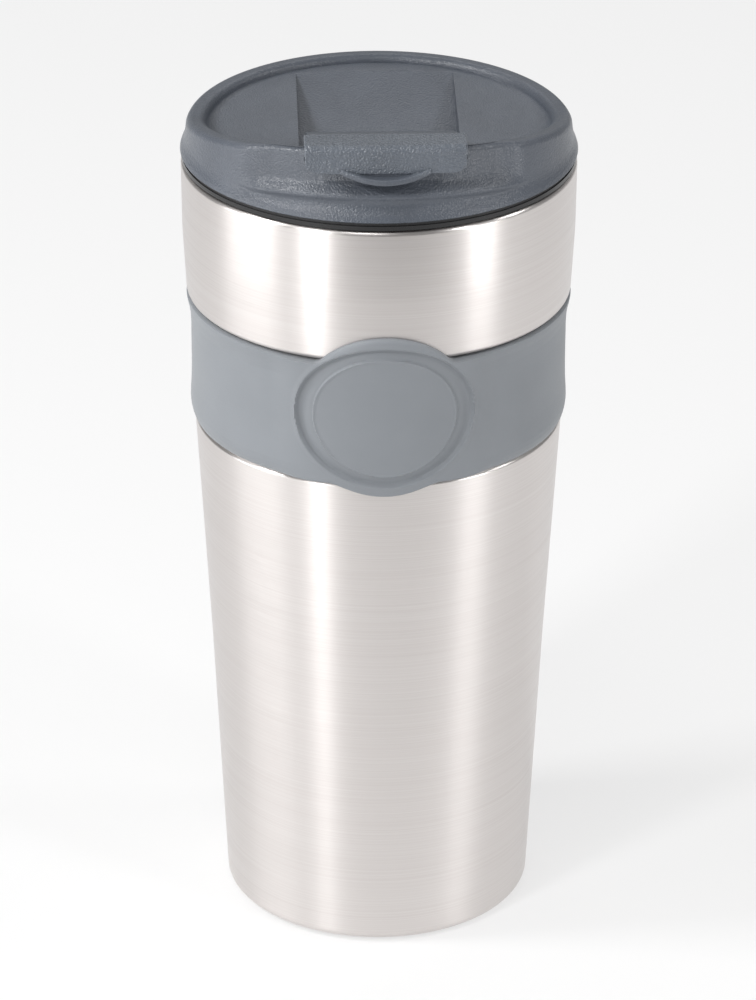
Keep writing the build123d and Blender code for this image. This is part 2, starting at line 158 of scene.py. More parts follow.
def ring_faces(rows, columns, closed_rows=False):
    """Quads over a grid of points whose columns run all the way round."""
    faces = []
    for row in range(rows if closed_rows else rows - 1):
        upper = (row + 1) % rows
        for column in range(columns):
            beside = (column + 1) % columns
            faces.append((row * columns + column, row * columns + beside,
                          upper * columns + beside, upper * columns + column))
    return faces


def lathe(name, outline, body, material, stands_for=(), segments=192, closed=True, crease=35.0):
    """Turn an (r, z) outline about the mug's axis."""
    vertices = []
    for r, z in outline:
        for column in range(segments):
            angle = 2 * pi * column / segments
            vertices.append((r * sin(angle), -r * cos(angle), z))
    faces = ring_faces(len(outline), segments, closed_rows=closed)
    return new_piece(name, vertices, faces, body, material, stands_for, crease)


# ------------------------------------------------------------------ material helpers
class Material:
    """A node material with a few shorthands."""

    def __init__(self, name, colour, metallic=0.0, roughness=0.5, **numbers):
        self.material = bpy.data.materials.new(name)
        self.material.use_nodes = True
        self.tree = self.material.node_tree
        self.shader = self.tree.nodes["Principled BSDF"]
        self.shader.inputs["Base Color"].default_value = (*colour, 1.0)
        self.shader.inputs["Metallic"].default_value = metallic
        self.shader.inputs["Roughness"].default_value = roughness
        for socket, value in numbers.items():
            self.shader.inputs[socket.replace("_", " ").title().replace("Ior", "IOR")].default_value = value

    def add(self, kind, **settings):
        node = self.tree.nodes.new(kind)
        for key, value in settings.items():
            if key in node.inputs:
                node.inputs[key].default_value = value
            else:
                setattr(node, key, value)
        return node

    def link(self, out, into):
        self.tree.links.new(out, into)

    def noise(self, scale, stretch=(1.0, 1.0, 1.0), detail=2.0, roughness=0.5):
        """Noise over the object's own coordinates, in cycles per metre."""
        place = self.add("ShaderNodeTexCoord")
        mapping = self.add("ShaderNodeMapping")
        mapping.inputs["Scale"].default_value = stretch
        self.link(place.outputs["Object"], mapping.inputs["Vector"])
        noise = self.add("ShaderNodeTexNoise", Scale=scale, Detail=detail, Roughness=roughness)
        self.link(mapping.outputs["Vector"], noise.inputs["Vector"])
        return noise.outputs["Fac"]

    def remap(self, value, low, high, from_low=0.3, from_high=0.7):
        ranged = self.add("ShaderNodeMapRange")
        ranged.inputs["From Min"].default_value = from_low
        ranged.inputs["From Max"].default_value = from_high
        ranged.inputs["To Min"].default_value = low
        ranged.inputs["To Max"].default_value = high
        self.link(value, ranged.inputs["Value"])
        return ranged.outputs["Result"]

    def vary_colour(self, value, dark, light):
        mix = self.add("ShaderNodeMix", data_type="RGBA")
        mix.inputs[6].default_value = (*dark, 1.0)
        mix.inputs[7].default_value = (*light, 1.0)
        self.link(value, mix.inputs[0])
        self.link(mix.outputs[2], self.shader.inputs["Base Color"])

    def bumps(self, *layers):
        """Stack bump layers, each (height, strength, distance in millimetres)."""
        normal = None
        for height, strength, distance in layers:
            node = self.add("ShaderNodeBump")
            node.inputs["Strength"].default_value = strength
            node.inputs["Distance"].default_value = distance * MM
            self.link(height, node.inputs["Height"])
            if normal is not None:
                self.link(normal, node.inputs["Normal"])
            normal = node.outputs["Normal"]
        self.link(normal, self.shader.inputs["Normal"])


# ------------------------------------------------------------------ materials
def brushed_steel():
    """Steel brushed round the mug: fine level lines that spread a highlight up and down."""
    steel = Material("brushed_steel", (0.64, 0.615, 0.60), metallic=1.0, roughness=0.42)
    steel.shader.inputs["Anisotropic"].default_value = 0.84
    steel.shader.inputs["Anisotropic Rotation"].default_value = 0.25
    tangent = steel.add("ShaderNodeTangent", direction_type="RADIAL", axis="Z")
    steel.link(tangent.outputs["Tangent"], steel.shader.inputs["Tangent"])
    fine = steel.noise(1.0, (14, 14, 5200), detail=3.0)
    coarse = steel.noise(1.0, (30, 30, 1500), detail=2.0)
    steel.vary_colour(steel.remap(fine, 0.0, 1.0), (0.69, 0.65, 0.632), (0.735, 0.702, 0.684))
    steel.link(steel.remap(coarse, 0.30, 0.35), steel.shader.inputs["Roughness"])
    steel.bumps((fine, 0.05, 0.01))
    return steel.material


def plain_steel():
    """The drawn steel of the hinge pin."""
    steel = Material("pin_steel", (0.66, 0.66, 0.66), metallic=1.0, roughness=0.3)
    lines = steel.noise(1.0, (300, 6000, 6000), detail=2.0)
    steel.link(steel.remap(lines, 0.24, 0.36), steel.shader.inputs["Roughness"])
    steel.bumps((lines, 0.15, 0.02))
    return steel.material


def grained_plastic(name, colour, roughness, grain_mm, strength, depth_mm):
    """Moulded plastic with a spark-eroded grain of the given size."""
    plastic = Material(name, colour, roughness=roughness)
    grain = plastic.noise(1000.0 / grain_mm, detail=0.5)
    broad = plastic.noise(90.0, detail=2.0)
    darker = tuple(c * 0.93 for c in colour)
    lighter = tuple(c * 1.07 for c in colour)
    plastic.vary_colour(plastic.remap(broad, 0.0, 1.0), darker, lighter)
    plastic.link(plastic.remap(grain, roughness - 0.04, roughness + 0.06), plastic.shader.inputs["Roughness"])
    plastic.bumps((grain, strength, depth_mm))
    return plastic.material


def silicone(name, colour, roughness=0.55, sheen=0.15):
    """Matt silicone with a powdery bloom."""
    rubber = Material(name, colour, roughness=roughness)
    rubber.shader.inputs["Sheen Weight"].default_value = sheen
    rubber.shader.inputs["Sheen Roughness"].default_value = 0.5
    fine = rubber.noise(3500.0, detail=2.0)
    broad = rubber.noise(60.0, detail=3.0)
    rubber.vary_colour(rubber.remap(broad, 0.0, 1.0), tuple(c * 0.96 for c in colour), tuple(c * 1.04 for c in colour))
    rubber.link(rubber.remap(fine, roughness - 0.05, roughness + 0.05), rubber.shader.inputs["Roughness"])
    rubber.bumps((fine, 0.1, 0.02))
    return rubber.material


def smooth_plastic(name, colour, roughness):
    """Smooth moulded plastic with faint flow marks."""
    plastic = Material(name, colour, roughness=roughness)
    flow = plastic.noise(1.0, (120, 120, 40), detail=3.0)
    plastic.link(plastic.remap(flow, roughness - 0.05, roughness + 0.07), plastic.shader.inputs["Roughness"])
    plastic.bumps((flow, 0.05, 0.05))
    return plastic.material


STEEL = brushed_steel()
PIN = plain_steel()
LID = grained_plastic("lid_plastic", (0.084, 0.095, 0.115), 0.33, 0.38, 1.0, 0.12)
# The lever head: the lid's plastic with a real coarser grain, made lighter as painted light for the light its face
# catches.
HEAD = grained_plastic("lever_grain_painted_light", (0.112, 0.126, 0.148), 0.25, 0.48, 1.0, 0.32)
SILICONE = silicone("grip_silicone", (0.208, 0.223, 0.242))
BLACK = smooth_plastic("black_plastic", (0.012, 0.012, 0.013), 0.28)
BLACK_SEAL = silicone("black_silicone", (0.012, 0.012, 0.013), 0.5, 0.05)
GREY_SEAL = silicone("plug_silicone", (0.30, 0.32, 0.34), 0.5, 0.1)
PAD = silicone("pad_rubber", (0.03, 0.03, 0.03), 0.75, 0.1)


# ------------------------------------------------------------------ steel shell
FOOT_EDGE = 2.2
SHELL_WALL = 0.5
foot_z = shell_low.z
shell_top = shell_high.z
SHELL_CORNERS = [
    (30.9, foot_z), (33.45, foot_z), (36.45, 62.0), (39.5, 114.3), (38.4, 115.6),
    (38.4, 142.6), (41.0, 143.9), (41.75, 158.0), (41.9, shell_top), (39.2, shell_top),
]
SHELL_BENDS = [FOOT_EDGE, 400.0, 0.6, 0.6, 0.6, 1.4, 90.0, 0.9]


def shell_outer_radius(z):
    """Radius of the steel's outside at a height."""
    sides = [(height, radius) for radius, height in SHELL_CORNERS[1:-1]]
    return interpolate(sides, z)


def make_shell():
    outside = rounded(SHELL_CORNERS, SHELL_BENDS, steps=8)
    inside_corners = [
        (30.9, foot_z + SHELL_WALL), (33.0, foot_z + SHELL_WALL), (35.95, 62.0), (39.0, 114.1),
        (37.9, 115.4), (37.9, 142.8), (40.5, 144.1), (41.25, 158.0), (41.4, shell_top - SHELL_WALL),
        (39.2, shell_top - SHELL_WALL),
    ]
    inside = rounded(inside_corners, [FOOT_EDGE - SHELL_WALL, 400.0, 0.6, 0.6, 0.6, 1.4, 90.0, 0.4], steps=4)
    return lathe("steel_shell", outside + inside[::-1], "mug", STEEL,
                 ["outer_shell"], segments=256)


make_shell()


# ------------------------------------------------------------------ lid body
LID_COLUMNS = 288
LID_BASE = ring_high.z             # underside of the lid's skirt
HINGE_Y = (pin_low.y + pin_high.y) / 2
HINGE_Z = (pin_low.z + pin_high.z) / 2
RIM_BACK = HINGE_Z + 5.35          # level rim at the sides and the back
RIM_SLOPE = 0.22                   # rise of the rim towards the spout, per millimetre
RIM_SOFTNESS = 5.0                 # length over which the level rim turns into the slope
RIM_OUTER_ROUND = 1.5
RIM_INNER_ROUND = 1.6
RIM_INNER_BACK = 36.5
RIM_INNER_FRONT = 35.6
FLOOR_RADIUS = 31.8
FLOOR_BACK = RIM_BACK - 0.95       # recess floor at the back of the recess
FLOOR_SLOPE = 0.068
BOSS_RADIUS = 32.9
BOSS_BOTTOM = lid_low.z
POCKET_HALF_WIDTH = 17.0
POCKET_WALL = 2.0
SKIRT = [
    (0.0, 41.95), (0.35, 42.0), (1.1, 41.75), (2.0, 41.35), (3.0, 41.05), (4.2, 40.85),
    (5.8, 40.65), (7.8, 40.4), (11.0, 40.0), (16.0, 39.3),
]
SCOOP_EDGE = 47.0                  # degrees from the front at which the scoop has faded out
SCOOP_FULL = 36.0
SCOOP_DEPTH = 1.7
LEDGE_RISE = 5.6                   # crest of the ledge above the skirt's edge, at the front
LEDGE_FALL = 2.3                   # how much lower the crest is at the ends of the scoop
LEDGE_HEIGHT = 2.6
UNDERCUT = 0.55
CREST = 0.2


def rim_top(angle):
    """Height of the rim's top at an angle from the front."""
    forward = RIM_INNER_BACK * cos(angle)
    return RIM_BACK + RIM_SLOPE * RIM_SOFTNESS * log(1 + exp(forward / RIM_SOFTNESS)) * smoothstep(-12, 6, forward)


def lid_outer_radius(angle, z):
    """Radius of the lid's outside, with the drinking scoop, its ledge and the crescent under it."""
    radius = interpolate(SKIRT, z - LID_BASE)
    from_front = abs(degrees(angle))
    scoop = 1 - smoothstep(SCOOP_FULL, SCOOP_EDGE, from_front)
    crest = LID_BASE + LEDGE_RISE - LEDGE_FALL * (from_front / SCOOP_EDGE) ** 2
    spread = sqrt(max(1 - (from_front / SCOOP_EDGE) ** 2, 0.0))
    radius -= scoop * SCOOP_DEPTH * smoothstep(crest, crest + LEDGE_HEIGHT, z)
    radius -= spread * UNDERCUT * bump(crest - 2.3 * spread, 2.0 * spread + 0.1, z)
    radius += scoop * CREST * bump(crest - 0.2, 1.0, z)
    return radius


def floor_height(y):
    """Height of the sloping recess floor at a place along the front-to-back line."""
    return FLOOR_BACK - FLOOR_SLOPE * (RIM_INNER_BACK - y)


def lid_section(angle):
    """The lid's outline at one angle, from the underside round the rim to the recess floor."""
    top = rim_top(angle)
    outline = [(BOSS_RADIUS - 0.4, LID_BASE - 1), (BOSS_RADIUS, LID_BASE - 1), (BOSS_RADIUS, LID_BASE),
               (41.4, LID_BASE), (41.75, LID_BASE + 0.03)]
    shoulder = top - RIM_OUTER_ROUND
    wall_rows = 56
    for row in range(wall_rows + 1):
        z = LID_BASE + 0.25 + (shoulder - LID_BASE - 0.25) * row / wall_rows
        outline.append((lid_outer_radius(angle, z), z))
    shoulder_radius = lid_outer_radius(angle, shoulder)
    steps = 8
    for step in range(1, steps + 1):
        turn = pi / 2 * step / steps
        outline.append((shoulder_radius - RIM_OUTER_ROUND * (1 - cos(turn)), shoulder + RIM_OUTER_ROUND * sin(turn)))
    towards_front = smoothstep(-0.2, 0.9, cos(angle))
    inner = RIM_INNER_BACK + (RIM_INNER_FRONT - RIM_INNER_BACK) * towards_front
    for step in range(steps + 1):
        turn = pi / 2 * step / steps
        outline.append((inner + RIM_INNER_ROUND * (1 - sin(turn)), top - RIM_INNER_ROUND * (1 - cos(turn))))
    foot = floor_height(-FLOOR_RADIUS * cos(angle))
    drop = top - RIM_INNER_ROUND - foot
    wall_steps = 18
    for step in range(1, wall_steps + 1):
        turn = pi / 2 * step / wall_steps
        outline.append((FLOOR_RADIUS + (inner - FLOOR_RADIUS) * cos(turn), foot + drop * (1 - sin(turn))))
    outline.append((FLOOR_RADIUS - 0.4, floor_height(-(FLOOR_RADIUS - 0.4) * cos(angle))))
    return outline


def make_solid(name, vertices, faces):
    """A plain closed mesh in millimetres, used as a tool for cutting or joining."""
    mesh = bpy.data.meshes.new(name)
    mesh.from_pydata([tuple(c * MM for c in v) for v in vertices], [], faces)
    clean(mesh)
    solid = bpy.data.objects.new(name, mesh)
    bpy.context.scene.collection.objects.link(solid)
    return solid


def prism(name, outline, half_width):
    """Extrude a (y, z) outline to both sides of the middle plane."""
    count = len(outline)
    vertices = [(side * half_width, y, z) for side in (-1, 1) for y, z in outline]
    faces = [tuple(range(count)), tuple(range(count, 2 * count))]
    faces += [(i, (i + 1) % count, count + (i + 1) % count, count + i) for i in range(count)]
    return make_solid(name, vertices, faces)


def column(name, outline, low, high):
    """Extrude an (x, y) outline upwards."""
    count = len(outline)
    vertices = [(x, y, z) for z in (low, high) for x, y in outline]
    faces = [tuple(range(count)), tuple(range(count, 2 * count))]
    faces += [(i, (i + 1) % count, count + (i + 1) % count, count + i) for i in range(count)]
    return make_solid(name, vertices, faces)


def circle_points(centre, radius, count=24):
    return [(centre[0] + radius * cos(2 * pi * i / count), centre[1] + radius * sin(2 * pi * i / count))
            for i in range(count)]


def combine(target, tool, operation):
    """Join a tool to a solid, or cut it away, and throw the tool away."""
    modifier = target.modifiers.new("combine", "BOOLEAN")
    modifier.operation = operation
    modifier.object = tool
    modifier.solver = "EXACT"
    bpy.context.view_layer.update()
    result = bpy.data.meshes.new_from_object(target.evaluated_get(bpy.context.evaluated_depsgraph_get()))
    target.modifiers.clear()
    target.data = result
    bpy.data.objects.remove(tool)


def soften_edges(target, chosen, width_mm, steps=3):
    """Round the straight edges that a test picks out."""
    work = bmesh.new()
    work.from_mesh(target.data)
    bmesh.ops.dissolve_limit(work, angle_limit=radians(0.3), verts=work.verts, edges=work.edges)
    edges = [edge for edge in work.edges if chosen(*(vert.co / MM for vert in edge.verts))]
    bmesh.ops.bevel(work, geom=edges, offset=width_mm * MM, segments=steps, profile=0.5,
                    affect="EDGES", clamp_overlap=True)
    work.to_mesh(target.data)
    work.free()


POCKET_BOTTOM = BOSS_BOTTOM + POCKET_WALL
POCKET_BACK = 31.0
POCKET_LINE = [
    (POCKET_BACK, floor_height(POCKET_BACK)), (2.0, POCKET_BOTTOM), (-22.5, POCKET_BOTTOM),
    (-27.2, POCKET_BOTTOM + 6.5), (-34.4, POCKET_BOTTOM + 7.6),
]


def boss_outline():
    """The boss under the pocket: as wide as the pocket with its walls, cut round by the thread ring."""
    half = POCKET_HALF_WIDTH + POCKET_WALL
    round_radius = BOSS_RADIUS - 0.6
    reach = acos(half / round_radius)
    outline = []
    steps = 16
    for step in range(steps + 1):
        turn = reach + (pi - 2 * reach) * step / steps
        outline.append((round_radius * cos(turn), round_radius * sin(turn)))
    return outline + [(-x, -y) for x, y in outline]


def make_lid():
    sections = [lid_section(2 * pi * (column_index / LID_COLUMNS) - pi) for column_index in range(LID_COLUMNS)]
    rows = len(sections[0])
    vertices = []
    for row in range(rows):
        for index, section in enumerate(sections):
            angle = 2 * pi * index / LID_COLUMNS - pi
            radius, z = section[row]
            vertices.append((radius * sin(angle), -radius * cos(angle), z))
    faces = ring_faces(rows, LID_COLUMNS)
    faces.append(tuple(range(LID_COLUMNS)))
    faces.append(tuple(range((rows - 1) * LID_COLUMNS, rows * LID_COLUMNS)))
    lid = make_solid("lid_moulding", vertices, faces)
    combine(lid, column("boss", boss_outline(), BOSS_BOTTOM, LID_BASE - 0.5), "UNION")
    back_slope = (POCKET_LINE[0][1] - POCKET_LINE[1][1]) / (POCKET_LINE[0][0] - POCKET_LINE[1][0])
    above = [(POCKET_BACK + 6, POCKET_LINE[0][1] + 6 * back_slope), (POCKET_BACK + 6, lid_high.z + 5),
             (-34.4, lid_high.z + 5)]
    pocket = prism("pocket", POCKET_LINE + above[::-1], POCKET_HALF_WIDTH)
    combine(pocket, column("recess_wall", circle_points((0, 0), RIM_INNER_FRONT, LID_COLUMNS),
                           BOSS_BOTTOM, lid_high.z + 6), "INTERSECT")
    combine(lid, pocket, "DIFFERENCE")
    hole = [(3.5 * (1 if i < 9 else -1) + 2.5 * sin(pi * i / 8 if i < 9 else pi * (i - 1) / 8),
             (seal_low.y + seal_high.y) / 2 + 2.5 * cos(pi * i / 8 if i < 9 else pi * (i - 1) / 8)) for i in range(18)]
    combine(lid, column("drink_hole", hole, BOSS_BOTTOM - 1, POCKET_BOTTOM + 1), "DIFFERENCE")

    def pocket_edge(a, b):
        on_side = abs(abs(a.x) - POCKET_HALF_WIDTH) < 0.01 and abs(a.x - b.x) < 0.01
        on_floor = all(abs(p.z - floor_height(p.y)) < 0.05 for p in (a, b)) and a.y > -26 and b.y > -26
        return (on_side and on_floor) or (on_floor and abs(a.y - b.y) < 0.01 and abs(a.y - POCKET_BACK) < 0.2)

    soften_edges(lid, pocket_edge, 0.45)
    finish_piece(lid, "lid", LID, ["lid_body"], crease=32)
    lid.modifiers.new("even shading", "WEIGHTED_NORMAL").keep_sharp = True


make_lid()


# ------------------------------------------------------------------ flip lever
ARM_HALF_WIDTH = 15.6
ARM_REAR = (-3.8, HINGE_Z + 4.0)
ARM_FRONT_Y = -34.3
HEAD_TOP = lever_high.z
HEAD_RISE = 0.25
HEAD_HALF_WIDTH = lever_high.x
TAB_REACH = 1.9
TAB_HALF_WIDTH = 9.15
TAB_DROP = 1.9
TAB_THICKNESS = 1.35
HEAD_OUTER_Y = lever_low.y + TAB_REACH
HEAD_INNER_Y = HEAD_OUTER_Y + 1.6
HEAD_BOTTOM = HEAD_TOP - 6.0
HEAD_CORNER = 2.6
HEAD_EDGE = 0.45
HEAD_BOW = 200.0
BARREL_RADIUS = 2.8
PIN_HOLE = 1.3
RIM_CLEAR = 190.62


def round_edges(target, width_mm, steps=3, sharper_than=30.0):
    """Round every edge that turns by more than an angle."""
    work = bmesh.new()
    work.from_mesh(target.data)
    bmesh.ops.dissolve_limit(work, angle_limit=radians(1.0), verts=work.verts, edges=work.edges)
    edges = [edge for edge in work.edges if edge.is_manifold and edge.calc_face_angle() > radians(sharper_than)]
    bmesh.ops.bevel(work, geom=edges, offset=width_mm * MM, segments=steps, profile=0.5,
                    affect="EDGES", clamp_overlap=True)
    work.to_mesh(target.data)
    work.free()


def head_section(x):
    """The head's (y, z) outline at a place across it: a top strip and the plate that hangs in front of the rim."""
    past_edge = max(abs(x) - (HEAD_HALF_WIDTH - HEAD_EDGE), 0.0)
    inset = HEAD_EDGE - sqrt(max(HEAD_EDGE ** 2 - past_edge ** 2, 0.0))
    past_corner = max(abs(x) - (HEAD_HALF_WIDTH - HEAD_CORNER), 0.0)
    bottom = HEAD_BOTTOM + HEAD_CORNER - sqrt(max(HEAD_CORNER ** 2 - past_corner ** 2, 0.0))
    under = RIM_CLEAR + inset
    front = HEAD_OUTER_Y + inset + x * x / (2 * HEAD_BOW)
    inner = HEAD_INNER_Y - inset
    rear = ARM_FRONT_Y - inset
    outline = [((front + rear) / 2, under), (rear, under), (rear, HEAD_TOP - inset), (front, HEAD_TOP - inset),
               (front, bottom + inset), (inner, bottom + inset), (inner, under), ((front + rear) / 2, under)]
    return rounded(outline, [0.3, 0.3, 1.3, 0.35, 0.35, 0.5])[:-1]


def loft_across(name, places, section):
    """Join (y, z) outlines that stand at several places across the mug, and close both ends."""
    outlines = [section(x) for x in places]
    count = len(outlines[0])
    vertices = [(x, y, z) for x, outline in zip(places, outlines) for y, z in outline]
    ends = [tuple(range(count)), tuple(range(len(vertices) - count, len(vertices)))]
    return make_solid(name, vertices, ring_faces(len(places), count) + ends)


def make_head():
    steps = 10
    half = [HEAD_HALF_WIDTH * step / steps for step in range(steps)]
    half += [HEAD_HALF_WIDTH - HEAD_CORNER * (1 - sin(pi / 2 * step / steps)) for step in range(steps)]
    half += [HEAD_HALF_WIDTH - HEAD_EDGE * (1 - sin(pi / 2 * step / steps)) for step in range(steps + 1)]
    places = sorted({round(side * x, 3) for x in half for side in (-1, 1)})
    return loft_across("head", places, head_section)


def tab_section(x):
    """The thumb tab's (y, z) outline: it reaches out and hangs lowest in the middle."""
    swell = 1 - (x / TAB_HALF_WIDTH) ** 2 * 0.97
    front = HEAD_OUTER_Y - TAB_REACH * swell
    low = HEAD_BOTTOM - TAB_DROP * swell
    outline = [(HEAD_OUTER_Y + 0.9, low + 0.5), (HEAD_OUTER_Y + 0.9, low), (front, low), (front, low + TAB_THICKNESS),
               (HEAD_OUTER_Y + 0.9, low + TAB_THICKNESS), (HEAD_OUTER_Y + 0.9, low + 0.5)]
    return rounded(outline, [0.1, 0.5, 0.4, 0.1], steps=5)[:-1]


def make_tab():
    steps = 24
    return loft_across("tab", [TAB_HALF_WIDTH * (2 * step / steps - 1) for step in range(steps + 1)], tab_section)


def make_lever():
    arm_line = [
        ARM_REAR, (ARM_FRONT_Y, HEAD_TOP - HEAD_RISE), (-37.2, HEAD_TOP - HEAD_RISE), (-37.2, RIM_CLEAR),
        (-35.6, RIM_CLEAR), (HINGE_Y - BARREL_RADIUS, ARM_REAR[1] - 0.4), (HINGE_Y - BARREL_RADIUS, HINGE_Z),
        (HINGE_Y + BARREL_RADIUS, HINGE_Z),
    ]
    arm = prism("lever_moulding", rounded(arm_line[-1:] + arm_line, [0.8, 3.0, 0.1, 0.1, 3.0, 1.0, 0.1])[1:],
                ARM_HALF_WIDTH)
    round_edges(arm, 0.35, sharper_than=40)
    barrel = prism("barrel", circle_points((HINGE_Y, HINGE_Z), BARREL_RADIUS, 40), ARM_HALF_WIDTH)
    combine(arm, barrel, "UNION")
    head = make_head()
    combine(arm, head, "UNION")
    combine(arm, make_tab(), "UNION")
    web = column("web", [(-TAB_HALF_WIDTH + 1.5, HEAD_OUTER_Y + 0.7), (TAB_HALF_WIDTH - 1.5, HEAD_OUTER_Y + 0.7),
                         (TAB_HALF_WIDTH - 1.5, HEAD_OUTER_Y + 0.3), (-TAB_HALF_WIDTH + 1.5, HEAD_OUTER_Y + 0.3)],
                 HEAD_BOTTOM - TAB_DROP + 1.0, HEAD_BOTTOM + 0.6)
    combine(arm, web, "UNION")
    seal_y = (seal_low.y + seal_high.y) / 2
    post = column("post", [(-4, seal_y - 2.5), (4, seal_y - 2.5), (4, seal_y + 2.5), (-4, seal_y + 2.5)],
                  seal_high.z + 0.02, seal_high.z + 11)
    combine(arm, post, "UNION")
    vent_y = (vent_low.y + vent_high.y) / 2
    vent_post = column("vent_post", circle_points((0, vent_y), 1.6), vent_high.z + 0.02, vent_high.z + 8)
    combine(arm, vent_post, "UNION")
    combine(arm, prism("pin_hole", circle_points((HINGE_Y, HINGE_Z), PIN_HOLE), ARM_HALF_WIDTH + 2), "DIFFERENCE")
    finish_piece(arm, "lever", LID, ["flip_lever"], crease=40)
    arm.data.materials.append(HEAD)
    for polygon in arm.data.polygons:
        centre = polygon.center / MM
        on_head = centre.y < ARM_FRONT_Y + 0.1 and centre.z > HEAD_BOTTOM + 0.1
        polygon.material_index = 1 if on_head else 0
    arm.modifiers.new("even shading", "WEIGHTED_NORMAL").keep_sharp = True


make_lever()


# ------------------------------------------------------------------ grip band
MEDALLION_Z = (band_low.z + band_high.z) / 2
MEDALLION_RADIUS = (band_high.z - band_low.z) / 2
BAND_BOTTOM = 114.9
BAND_TOP = 143.15
BAND_MEAN_RADIUS = 40.5
CREST_HALF_WIDTH = 19.1
CREST_HALF_HEIGHT = 16.3
DISC_HALF_WIDTH = 14.9
DISC_HALF_HEIGHT = 13.7
MEDALLION_LEAN = 0.052
MEDALLION_FACE = 41.55
BAND_PROFILE = [
    (114.9, 39.3), (115.4, 39.72), (116.3, 40.12), (117.3, 40.36), (118.5, 40.47), (120.5, 40.38),
    (123.0, 40.22), (126.0, 40.15), (135.5, 40.15), (138.5, 40.28), (140.6, 40.6), (142.0, 40.95),
    (142.7, 41.05), (143.2, 41.05),
]
FINE_HALF_SPAN = 28.0
FINE_STEP = 0.25
COARSE_COLUMNS = 84
BAND_ROWS = 140
EDGE_STEPS = 7


def band_edges(s):
    """Lower and upper edge of the band at a distance s round from the medallion's middle."""
    reach = sqrt(max(MEDALLION_RADIUS ** 2 - s * s, 0.0))
    wide = MEDALLION_RADIUS * sqrt(max(1 - (s / (MEDALLION_RADIUS * 1.08)) ** 2, 0.0))
    upper = soft_max(BAND_TOP, MEDALLION_Z + reach, 1.2)
    lower = soft_min(BAND_BOTTOM, MEDALLION_Z - wide - 0.35, 1.6)
    return lower, upper


def band_surface(s, z):
    """Outer radius of the band, with the medallion's disc, channel and crest."""
    face = MEDALLION_FACE + MEDALLION_LEAN * (z - MEDALLION_Z)
    crest = hypot(s / CREST_HALF_WIDTH, (z - MEDALLION_Z) / CREST_HALF_HEIGHT)
    disc = hypot(s / DISC_HALF_WIDTH, (z - MEDALLION_Z) / DISC_HALF_HEIGHT)
    mean_crest = (CREST_HALF_WIDTH + CREST_HALF_HEIGHT) / 2
    mean_disc = (DISC_HALF_WIDTH + DISC_HALF_HEIGHT) / 2
    if crest < 1:
        inward = (1 - crest) * mean_crest
        outward = (disc - 1) * mean_disc
        across = min(max(outward / (outward + inward), 0.0), 1.0) if outward > 0 else 0.0
        channel = 0.4 * smoothstep(0.0, 0.3, outward) + 0.6 * smoothstep(0.1, 0.85, across)
        wall = smoothstep(0.0, 0.6, inward)
        return face - channel * wall + 0.16 * bump(-0.1, 0.35, outward) + 0.2 * bump(0.1, 1.3, inward)
    merge = smoothstep(16.5, 26.0, abs(s))
    outside = (crest - 1) * mean_crest
    return face * (1 - merge) + interpolate(BAND_PROFILE, z) * merge + 0.2 * bump(-0.1, 1.3, outside)


def make_band():
    fine = int(2 * FINE_HALF_SPAN / FINE_STEP)
    turn = 2 * pi * BAND_MEAN_RADIUS
    places = [-FINE_HALF_SPAN + FINE_STEP * i for i in range(fine + 1)]
    rest = turn - 2 * FINE_HALF_SPAN
    places += [FINE_HALF_SPAN + rest * i / COARSE_COLUMNS for i in range(1, COARSE_COLUMNS)]
    columns = []
    for place in places:
        s = place if place < turn / 2 else place - turn
        low, high = band_edges(s)
        on_flange = smoothstep(BAND_TOP + 0.3, BAND_TOP + 2.5, high)
        edge = 0.3 + 1.0 * on_flange
        edge_run = [1.4 * (1 - cos(pi / 2 * k / EDGE_STEPS)) for k in range(EDGE_STEPS)]
        middle = [low + 1.4 + (high - low - 2.8) * k / BAND_ROWS for k in range(BAND_ROWS + 1)]
        heights = [low + d for d in edge_run] + middle + [high - d for d in edge_run[::-1]]
        points = []
        for z in heights:
            inner = shell_outer_radius(z) + 0.04
            outer = max(band_surface(s, z), inner + 0.02)
            t = min((high - z) / edge, 1.0)
            b = min((z - low) / (0.45 + 0.25 * on_flange), 1.0)
            fill = (1 - (1 - t) ** 2.2) ** (1 / 2.2) * (1 - (1 - b) ** 2.0) ** 0.5
            points.append((inner + (outer - inner) * fill, z))
        for z in (144.0, 142.6, 130.0, 115.6, 114.3):
            z = min(max(z, low + 0.05), high - 0.05)
            points.append((shell_outer_radius(z) + 0.03, z))
        columns.append((s / BAND_MEAN_RADIUS, points))
    rows = len(columns[0][1])
    vertices = []
    for row in range(rows):
        for angle, points in columns:
            radius, z = points[row]
            vertices.append((radius * sin(angle), -radius * cos(angle), z))
    new_piece("grip_moulding", vertices, ring_faces(rows, len(columns), closed_rows=True),
              "mug", SILICONE, ["grip_band"], crease=50)


make_band()


# ------------------------------------------------------------------ CAD nodes that stay
KEPT_NODES = {
    "inner_liner": BLACK, "rim_seal": BLACK_SEAL, "base_cap": BLACK, "foot_pad": PAD,
    "lid_gasket": BLACK_SEAL, "thread_ring": LID, "hinge_pin": PIN,
    "spout_seal": GREY_SEAL, "vent_seal": GREY_SEAL,
}
for node_name, node_material in KEPT_NODES.items():
    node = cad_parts[node_name]
    node.data.materials.clear()
    node.data.materials.append(node_material)


